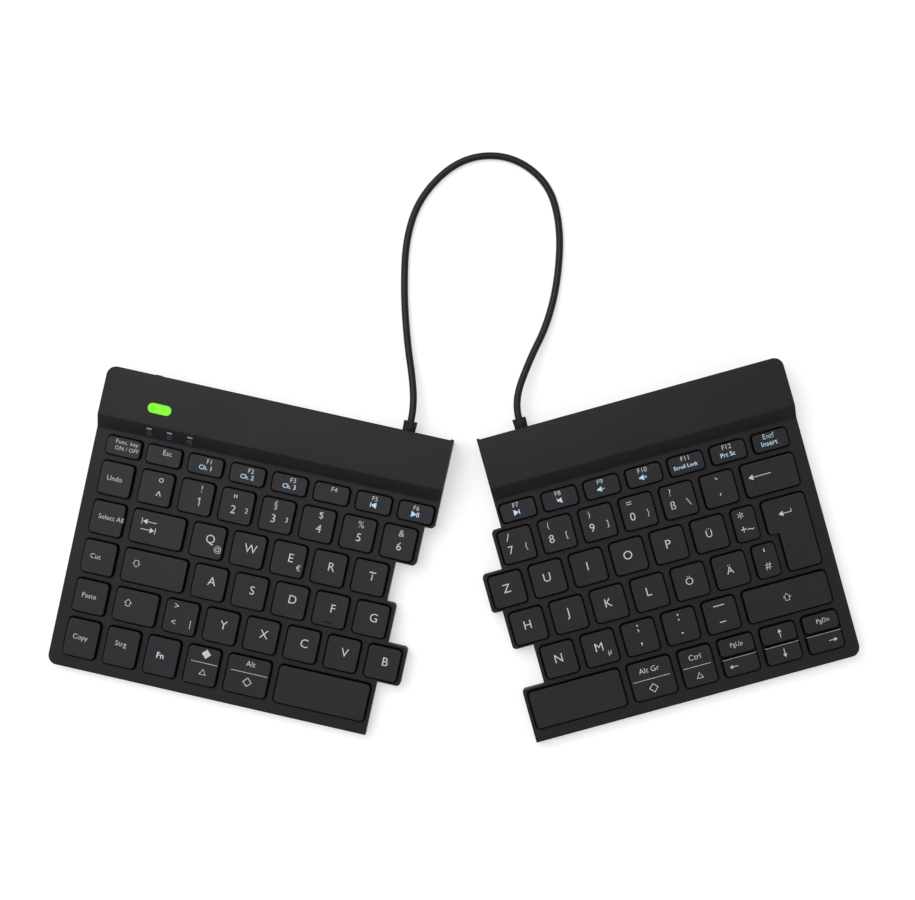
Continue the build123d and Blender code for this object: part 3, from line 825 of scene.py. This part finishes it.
def digit(lower, upper, x, extra=None):
    prints = one(x, 9.8, digit_cap) if lower == "1" else [word(lower, x, 9.8, digit_cap)]
    if upper == "/":
        prints += strokes([(x - 0.7, 5.5), (x + 0.7, 2.3)], 0.34)
    elif upper == "=":
        prints += [rule(x - 0.2, 3.0, 2.4, 0.3), rule(x - 0.2, 4.0, 2.4, 0.3)]
    elif upper == "\"":
        prints += [rule(x + shift, 3.7, 0.42, 1.6) for shift in (-0.5, 0.5)]
    elif upper in "()":
        prints.append(word(upper, x, 3.8, 2.6, bold=-0.03))
    else:
        prints.append(word(upper, x, 3.8, 3.1, bold=-0.05))
    if extra in ("2", "3"):
        prints.append(word(extra, x + 6.2, 9.3, 2.3))
    elif extra == "\\":
        prints += strokes([(x + 6.5, 8.2), (x + 8.0, 11.4)], 0.3)
    elif extra:
        prints.append(word(extra, x + 7.2, 9.8, 2.6, bold=-0.03))
    return prints


def function_key(name, second="", x=9.0, second_x=None):
    rise = 0.5 if x < 8 else 0.0
    prints = [word(name, x + 0.5 + rise, 2.8 - rise, 2.15)]
    if isinstance(second, list):
        prints += second
    elif second:
        cap = 1.7 if len(second) > 8 else 2.0
        prints.append(word(second, (second_x or x - 0.8) + 0.6 + rise, 5.8, cap, "blue", bold=0.03))
    return prints


def play_sign(x, y, bars, away=1, size=2.2):
    """Solid triangle with upright bars, as on a tape player; away is -1 where it points left."""
    head = word("\u25b6" if away > 0 else "\u25c0", x, y, size, "blue")
    start, step = size / 2 + 0.3, 0.75
    return [head] + [rule(x + away * (start + step * i), y, 0.4, size, "blue") for i in range(bars)]


def speaker_sign(x, y, mark=""):
    """Small loudspeaker with a sign beside it."""
    prints = [word("\u25c0", x, y, 2.0, "blue"), rule(x - 0.7, y, 0.6, 0.8, "blue")]
    if mark == "x":
        return prints + strokes([(x - 1.2, y - 1.1), (x + 1.2, y + 1.1)], 0.3, "blue")
    prints.append(rule(x + 1.9, y, 1.2, 0.32, "blue"))
    if mark == "+":
        prints.append(rule(x + 1.9, y, 0.32, 1.2, "blue"))
    return prints


def shift_sign(x, y, down=False):
    """Outlined broad arrow."""
    away = -1 if down else 1
    half = [(0.0, -1.6), (1.7, 0.1), (0.9, 0.1), (0.9, 1.5)]
    points = half + [(-px, py) for px, py in reversed(half)]
    return strokes([(x + px, y + away * py) for px, py in points], 0.24)


def arrow_left(x, y, length, head=1.9):
    """Long arrow that points left: a rule and a solid head."""
    shaft = rule(x + head / 4, y, length - head / 2, 0.3)
    return [shaft, word("\u25c0", x - length / 2 + head / 2, y, head)]


def arrow_right(x, y, length, head=1.9):
    shaft = rule(x - head / 4, y, length - head / 2, 0.3)
    return [shaft, word("\u25b6", x + length / 2 - head / 2, y, head)]


def stop_bar(x, y, height):
    return [rule(x, y, 0.3, height)]


def arrow_upright(x, y, length, up=True, head=1.9):
    away = 1 if up else -1
    sign = "\u25b2" if up else "\u25bc"
    shaft = rule(x, y + away * head / 4, 0.34, length - head / 2)
    return [shaft, word(sign, x, y - away * (length - head) / 2, head)]


def split_edge(opening_width):
    """Painted highlight: a pale strip along the rear edge of a key that stands in front of another one
    in the same opening.
    """
    return [rule(opening_width / 2, 0.72, opening_width - 1.5, 0.3, "painted_highlight")]


legends = {
    "left_function_keys": [
        [
            word("Func. key", 4.8, 2.9, 1.95, from_left=True),
            word("ON / OFF", 4.9, 5.6, 1.85, from_left=True),
        ],
        function_key("F1", "Ch. 1", 9.6, 8.2),
        function_key("F2", "Ch. 2", 9.6, 8.2),
        function_key("F3", "Ch. 3", 9.6, 8.2),
        function_key("F4", x=9.2),
        function_key("F5", play_sign(8.9, 5.8, 1, -1), 8.5),
        function_key("F6", play_sign(8.0, 5.8, 2), 8.1),
    ],
    "escape_key": [[word("Esc", 10.2, 3.2, 2.35)]],
    "left_shortcut_keys": [
        [word("Copy", 4.2, 9.2, 2.25, from_left=True)],
        [word("Paste", 4.3, 7.8, 2.25, from_left=True)],
        [word("Cut", 4.3, 7.8, 2.25, from_left=True)],
        [word("Select All", 4.1, 7.6, 2.2, from_left=True)],
        [word("Undo", 4.2, 8.0, 2.25, from_left=True)],
    ],
    "left_number_keys": [
        [word("o", 10.0, 4.1, 3.2), word("^", 10.0, 10.3, 4.2)],
        digit("1", "!", 10.1),
        digit("2", "\"", 7.0, "2"),
        digit("3", "\u00a7", 6.9, "3"),
        digit("4", "$", 9.2),
        digit("5", "%", 8.9),
        digit("6", "&", 8.8),
    ],
    "tab_key": [
        arrow_left(8.9, 5.5, 6.4)
        + stop_bar(5.2, 5.5, 2.9)
        + arrow_right(8.4, 9.2, 6.4)
        + stop_bar(12.1, 9.2, 2.9)
    ],
    "caps_lock_key": [shift_sign(6.8, 7.0, True)],
    "left_shift_key": [shift_sign(6.8, 6.9)],
    "left_upper_letter_keys": [
        letter("Q", "left", "@"),
        letter("W", "left"),
        letter("E", "left", "\u20ac"),
        letter("R", "left"),
        letter("T", "left"),
    ],
    "left_home_letter_keys": [letter(text, "left") for text in "ASDFG"],
    "left_lower_letter_keys": [
        [word(">", 5.4, 3.3, 2.9), word("<", 5.4, 10.8, 2.9), word("|", 13.2, 10.6, 2.9)],
        *[letter(text, "left") for text in "YXCVB"],
    ],
    "left_control_key": [[word("Strg", 7.6, 8.0, 2.31)]],
    "fn_key": [[word("Fn", 7.5, 8.9, 2.7, "blue", bold=0.05)]],
    "left_system_key": [
        [word("\u25c6", 9.2, 3.6, 3.2), rule(9.1, 7.8, 12.3), word("\u25b3", 9.2, 11.9, 2.6)],
    ],
    "left_alt_key": [
        [word("Alt", 11.2, 3.5, 2.5), rule(11.2, 7.8, 17.2), word("\u25c7", 11.2, 12.0, 3.2)],
    ],
    "left_space_key": [[]],
    "right_function_keys": [
        function_key("F7", play_sign(7.7, 5.7, 1), 7.2),
        function_key("F8", speaker_sign(8.3, 5.7, "x"), 7.3),
        function_key("F9", speaker_sign(7.3, 5.7, "-"), 7.4),
        function_key("F10", speaker_sign(7.3, 5.7, "+"), 7.5),
        function_key("F11", "Scroll Lock", 7.7, 7.2),
        function_key("F12", "Prt Sc", 7.5, 7.2),
    ],
    "delete_key": [[word("Entf", 8.3, 2.6, 2.3), word("Insert", 8.0, 5.8, 2.25, "blue", bold=0.0)]],
    "right_number_keys": [
        digit("7", "/", 5.0, "{"),
        digit("8", "(", 5.1, "["),
        digit("9", ")", 5.2, "]"),
        digit("0", "=", 5.2, "}"),
        digit("\u00df", "?", 5.2, "\\"),
        strokes([(7.6, 2.9), (8.4, 3.6)], 0.42) + strokes([(8.4, 10.3), (7.9, 11.1)], 0.42),
    ],
    "backspace_key": [arrow_left(8.4, 7.1, 10.4, 2.0)],
    "right_upper_letter_keys": [letter(text, "right") for text in "ZUIOP\u00dc"],
    "plus_key": [[word("*", 4.7, 3.8, 4.6), word("+~", 6.2, 10.4, 3.8)]],
    "enter_key": [arrow_left(10.3, 8.0, 6.0, 1.9) + strokes([(13.1, 8.0), (13.1, 6.6)], 0.3)],
    "right_home_letter_keys": [letter(text, "right") for text in "HJKL\u00d6\u00c4"],
    "hash_key": [[rule(6.0, 3.4, 0.5, 1.5), word("#", 6.1, 10.8, 3.3)]],
    "right_lower_letter_keys": [
        letter("N", "right"),
        letter("M", "right", "\u00b5"),
        [word(";", 8.1, 4.2, 4.4), word(",", 8.1, 11.4, 4.6)],
        [word(":", 8.1, 4.0, 4.6), word(".", 8.2, 11.4, 5.0)],
        [rule(8.2, 3.7, 5.0, 0.4), rule(8.2, 11.3, 3.0, 0.4)],
    ],
    "right_shift_key": [shift_sign(20.0, 8.1)],
    "right_space_key": [[]],
    "alt_gr_key": [
        [word("Alt Gr", 10.2, 4.9, 2.5), rule(10.3, 9.2, 17.2), word("\u25c7", 10.2, 13.5, 3.2)],
    ],
    "right_control_key": [
        [word("Ctrl", 7.9, 4.9, 2.5), rule(8.0, 9.2, 12.7), word("\u25b3", 8.0, 13.5, 2.6)],
    ],
    "page_up_key": [[word("PgUp", 8.9, 4.5, 1.95)]],
    "left_arrow_key": [arrow_left(5.2, 4.5, 3.9, 1.4) + split_edge(17.45)],
    "up_arrow_key": [arrow_upright(9.4, 4.7, 3.9, True, 1.4)],
    "down_arrow_key": [arrow_upright(9.3, 4.5, 3.9, False, 1.4) + split_edge(17.45)],
    "page_down_key": [[word("PgDn", 9.9, 4.4, 1.95)]],
    "right_arrow_key": [arrow_right(12.2, 4.5, 3.9, 1.4) + split_edge(17.45)],
}


def place_print(low, high, spec):
    """Lay one print on its key, along the hollow of the cap."""
    text, x, y, cap, tint, from_left, bold = spec
    bm = rule_print(*cap) if text is None else text_print(text, cap, bold)
    start, end = span([v.co for v in bm.verts])
    anchor = Vector((start.x if from_left else (start.x + end.x) / 2, (start.y + end.y) / 2, 0))
    target = Vector((low.x - key_gap + x * mm, high.y + key_gap - y * mm, 0))
    bmesh.ops.translate(bm, verts=bm.verts, vec=target - anchor)
    middle = (low.x + high.x) / 2
    flat = (high.x - low.x) / 2 - key_side_draft - key_rim
    for vert in bm.verts:
        share = min(abs(vert.co.x - middle) / flat, 1.0)
        vert.co.z = low.z + key_cap_height - key_hollow * (1 - share * share) + ink_height
    for face in bm.faces:
        if face.normal.z < 0:
            face.normal_flip()
        face.material_index = list(inks).index(tint)
    return bm


for node, key_prints in legends.items():
    sheet = bmesh.new()
    for (low, high), prints in zip(keys[node], key_prints):
        for spec in prints:
            pour(place_print(low, high, spec), sheet)
    if not sheet.verts:
        sheet.free()
        continue
    sheet.transform(on_plate[key_side[node]])
    print_piece = piece_from(sheet, node + "_print", list(inks.values()), key_body[node])


# Cable between the halves.
# One black flexible lead of 3.3 mm, about 0.29 m long: it leaves each half through a rubber gland,
# comes down to the desk and lies behind the keyboard in a loop.
cable_diameter = 3.3 * mm
cable_route = [
    (-18.32, 59.38, 8.0),
    (-17.02, 65.23, 8.0),
    (-17.5, 77.7, 6.0),
    (-20.4, 96.3, 3.0),
    (-22.1, 120.2, 1.65),
    (-21.1, 145.6, 1.65),
    (-13.7, 165.5, 1.65),
    (4.3, 182.0, 1.65),
    (26.6, 183.6, 1.65),
    (44.7, 170.8, 1.65),
    (50.6, 150.4, 1.65),
    (49.4, 125.2, 1.65),
    (44.3, 104.2, 3.0),
    (36.0, 87.5, 6.0),
    (29.0, 68.4, 8.0),
    (31.13, 60.69, 8.0),
]
cable_black = (0.007, 0.0066, 0.0064)

cable_rubber = node_material("cable_rubber", cable_black, 0.42)
cable_noise = add_noise(cable_rubber, 900.0, 3.0)
add_grain(cable_rubber, cable_noise, 0.15, 0.00003)
vary_color(cable_rubber, add_noise(cable_rubber, 50.0), cable_black, tuple(1.3 * c for c in cable_black))

curve = bpy.data.curves.new("link_cable", "CURVE")
curve.dimensions = "3D"
curve.bevel_depth = cable_diameter / 2
curve.bevel_resolution = 6
curve.resolution_u = 14
curve.use_fill_caps = True
spline = curve.splines.new("NURBS")
spline.points.add(len(cable_route) - 1)
for point, place in zip(spline.points, cable_route):
    point.co = (*[mm * value for value in place], 1.0)
spline.order_u = 3
spline.use_endpoint_u = True
route = bpy.data.objects.new("cable_route", curve)
bpy.context.collection.objects.link(route)
bpy.context.view_layer.update()
graph = bpy.context.evaluated_depsgraph_get()
tube = bpy.data.meshes.new_from_object(route.evaluated_get(graph))
curve.bevel_depth = 0.0
bpy.context.view_layer.update()
graph = bpy.context.evaluated_depsgraph_get()
line = bpy.data.meshes.new_from_object(route.evaluated_get(graph))
bpy.data.objects.remove(route)
bpy.data.meshes.remove(line)
cable = bpy.data.objects.new("link_cable_lead", tube)
bpy.context.collection.objects.link(cable)
tube.materials.clear()
tube.materials.append(cable_rubber)
for polygon in tube.polygons:
    polygon.use_smooth = True
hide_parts("link_cable")
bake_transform(cable)


# Cable glands.
# Turned grommets of soft black rubber, pressed into a hole in each rear wall; the cable leaves
# the half through them.
def node_body(node):
    return "power_switch" if node == "power_switch_slider" else node.split("_")[0] + "_half"


def finish_node(node, material, round_edge=0.0):
    """Give a node its finish; with a rounding, its mesh is rebuilt with soft edges."""
    piece = frame["nodes"][node]
    if not round_edge:
        piece.data.materials.clear()
        piece.data.materials.append(material)
        return
    bm = node_mesh(node)
    bmesh.ops.dissolve_limit(bm, angle_limit=radians(1), verts=bm.verts, edges=bm.edges)
    soft = piece_from(bm, node + "_piece", [material], node_body(node))
    soften(soft, round_edge)
    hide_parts(node)


gland_rubber = node_material("gland_rubber", (0.010, 0.0095, 0.009), 0.75)
add_grain(gland_rubber, add_noise(gland_rubber, 1500.0, 4.0), 0.6, 0.00008)
vary_color(gland_rubber, add_noise(gland_rubber, 900.0), (0.006, 0.0056, 0.0052), (0.022, 0.020, 0.018))
for side in sides:
    finish_node(f"{side}_cable_gland", gland_rubber, 0.35 * mm)


# Covers, feet and screws.
# A flat black cover closes each half from below; four black screws hold it and four rubber feet
# are glued to it near its corners.
cover_plastic = node_material("cover_plastic", (0.012, 0.012, 0.0125), 0.6)
add_grain(cover_plastic, add_noise(cover_plastic, 1400.0, 3.0), 0.25, 0.00005)
vary_color(cover_plastic, add_noise(cover_plastic, 45.0), (0.011, 0.011, 0.0115), (0.014, 0.014, 0.0145))

foot_rubber = node_material("foot_rubber", (0.022, 0.022, 0.023), 0.8)
add_grain(foot_rubber, add_noise(foot_rubber, 1100.0), 0.3, 0.00005)
vary_color(foot_rubber, add_noise(foot_rubber, 80.0), (0.02, 0.02, 0.021), (0.028, 0.028, 0.029))

screw_steel = node_material("black_screw_steel", (0.06, 0.06, 0.062), 0.35, 1.0)
vary_roughness(screw_steel, add_noise(screw_steel, 300.0), 0.28, 0.45)

for side in sides:
    finish_node(f"{side}_bottom_cover", cover_plastic, 0.25 * mm)
    finish_node(f"{side}_rubber_feet", foot_rubber, 0.25 * mm)
    finish_node(f"{side}_case_screws", screw_steel, 0.12 * mm)


# Charging socket and power switch.
# A nickel-plated socket soldered to the left half's board, and beside it the black knob of a slide
# switch; both look out of the rear wall.
socket_steel = node_material("nickel_socket", (0.62, 0.61, 0.59), 0.25, 1.0)
vary_roughness(socket_steel, add_noise(socket_steel, 500.0), 0.2, 0.34)
finish_node("usb_c_socket", socket_steel)
finish_node("power_switch_slider", key_plastic, 0.2 * mm)


# Layers inside.
# Below the caps lie crossed plastic links, rubber domes, a membrane sheet and a stamped steel
# plate; the boards and the flat battery lie in the rear bars.
sheet_steel = node_material("stamped_sheet_steel", (0.5, 0.5, 0.5), 0.35, 1.0)
vary_roughness(sheet_steel, add_noise(sheet_steel, 200.0, stretch=(8.0, 1.0, 1.0)), 0.28, 0.45)

film = node_material("membrane_film", (0.01, 0.01, 0.011), 0.4)
vary_color(film, add_noise(film, 120.0), (0.008, 0.008, 0.009), (0.013, 0.013, 0.014))

dome_rubber = node_material("dome_rubber", (0.08, 0.08, 0.08), 0.5)
vary_color(dome_rubber, add_noise(dome_rubber, 300.0), (0.07, 0.07, 0.07), (0.09, 0.09, 0.09))

link_plastic = node_material("link_plastic", (0.05, 0.05, 0.05), 0.45)
vary_color(link_plastic, add_noise(link_plastic, 300.0), (0.045, 0.045, 0.045), (0.06, 0.06, 0.06))

board_green = node_material("board_lacquer", (0.02, 0.1, 0.05), 0.35)
vary_color(board_green, add_noise(board_green, 150.0), (0.016, 0.085, 0.04), (0.03, 0.12, 0.06))

battery_foil = node_material("battery_foil", (0.65, 0.65, 0.67), 0.35, 1.0)
vary_roughness(battery_foil, add_noise(battery_foil, 150.0), 0.25, 0.5)

for side in sides:
    finish_node(f"{side}_switch_plate", sheet_steel)
    finish_node(f"{side}_membrane_sheet", film)
    finish_node(f"{side}_rubber_domes", dome_rubber)
    finish_node(f"{side}_scissor_links", link_plastic)
    finish_node(f"{side}_circuit_board", board_green)
finish_node("battery", battery_foil)


# Status lights.
# A green pill-shaped window in the top of the left bar, and three small pale light pipes in its
# slope, all pressed in from below and almost flush.
light_green = node_material("green_light_window", (0.19, 0.80, 0.012), 0.4)
vary_color(light_green, add_noise(light_green, 200.0), (0.17, 0.75, 0.010), (0.21, 0.85, 0.015))

pipe_clear = node_material("pale_light_pipe", (0.28, 0.28, 0.33), 0.4)
vary_color(pipe_clear, add_noise(pipe_clear, 400.0), (0.25, 0.25, 0.30), (0.31, 0.31, 0.36))
pipe_proud = 0.04 * mm
pipe_limit = 3.0 * mm
pipe_shift_shares = (0.0, -0.65, 0.75)
pill_round_share = 0.499
pill_rim = 0.12 * mm

lights = bmesh.new()
solids = [span(points) for points in islands("status_light_window", on_desk["left"])]
solids.sort(key=lambda s: s[0].x)
for low, high in solids:
    part = bmesh.new()
    if low.z > parting_height and high.y - low.y > pipe_limit:
        flat_face(part, outline_of(low, high), low.z)
        round_corners(part, part.faces[:][0], pill_round_share * (high.y - low.y), 10)
        top = raise_face(part, part.faces[:][0], high.z - low.z)
        bmesh.ops.bevel(
            part,
            geom=list(top.edges),
            offset=pill_rim,
            affect="EDGES",
            segments=3,
            profile=0.5,
            material=-1,
        )
        material_index = 0
    else:
        bm = node_mesh("status_light_window")
        bm.transform(on_desk["left"].inverted())
        left, right = low.x - pipe_proud, high.x + pipe_proud
        rear = high.y + pipe_proud
        far = [v for v in bm.verts if not left < v.co.x < right or v.co.y >= rear]
        bmesh.ops.delete(bm, geom=far, context="VERTS")
        outwards = [share * pipe_proud for share in pipe_shift_shares]
        bmesh.ops.translate(bm, verts=bm.verts, vec=outwards)
        pour(bm, part)
        material_index = 1
    for face in part.faces:
        face.material_index = material_index
    pour(part, lights)
lights.transform(on_desk["left"])
light_piece = piece_from(lights, "status_lights", [light_green, pipe_clear], "left_half")
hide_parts("status_light_window")


# Indicator marks.
# One small grey sign below each light pipe, printed on the slope of the bar.
mark_ink = node_material("grey_mark_ink", (0.085, 0.085, 0.12), 0.6)
vary_color(mark_ink, add_noise(mark_ink, 600.0), (0.075, 0.075, 0.11), (0.095, 0.095, 0.13))
mark_drop = 2.3 * mm
mark_pen = 0.2
mark_body = [(-0.95, -0.35), (0.95, -0.35), (0.95, 1.2), (-0.95, 1.2), (-0.95, -0.35)]
mark_arch = [(-0.6, -0.35), (-0.6, -1.05), (0.6, -1.05), (0.6, -0.35)]
mark_signs = [[(0.0, 0.8), (0.0, 0.1)], [(-0.4, 0.8), (0.0, 0.1), (0.4, 0.8)], [(-0.4, 0.5), (0.4, 0.5)]]


def slope_place(x, y):
    """Place on the slope of the bar, turned with it."""
    foot = plate_front_height + bar_foot * tan(plate_slope["left"])
    rise, run = bar_height - foot, bar_crest - bar_foot
    z = foot + (y - bar_foot) * rise / run
    return Matrix.Translation((x, y, z)) @ Matrix.Rotation(atan2(rise, run), 4, "X")


marks = bmesh.new()
pipes = [(low, high) for low, high in solids if high.y - low.y < pipe_limit]
for (low, high), sign in zip(pipes, mark_signs):
    place = slope_place((low.x + high.x) / 2, (low.y + high.y) / 2 - mark_drop)
    for path in (mark_body, mark_arch, sign):
        for _, x, y, shape, *_ in strokes(path, mark_pen):
            bm = rule_print(*shape)
            bmesh.ops.translate(bm, verts=bm.verts, vec=(x * mm, -y * mm, 2 * ink_height))
            bm.transform(place)
            pour(bm, marks)
marks.transform(on_desk["left"])
for face in marks.faces:
    if face.normal.z < 0:
        face.normal_flip()
mark_piece = piece_from(marks, "indicator_marks", [mark_ink], "left_half")
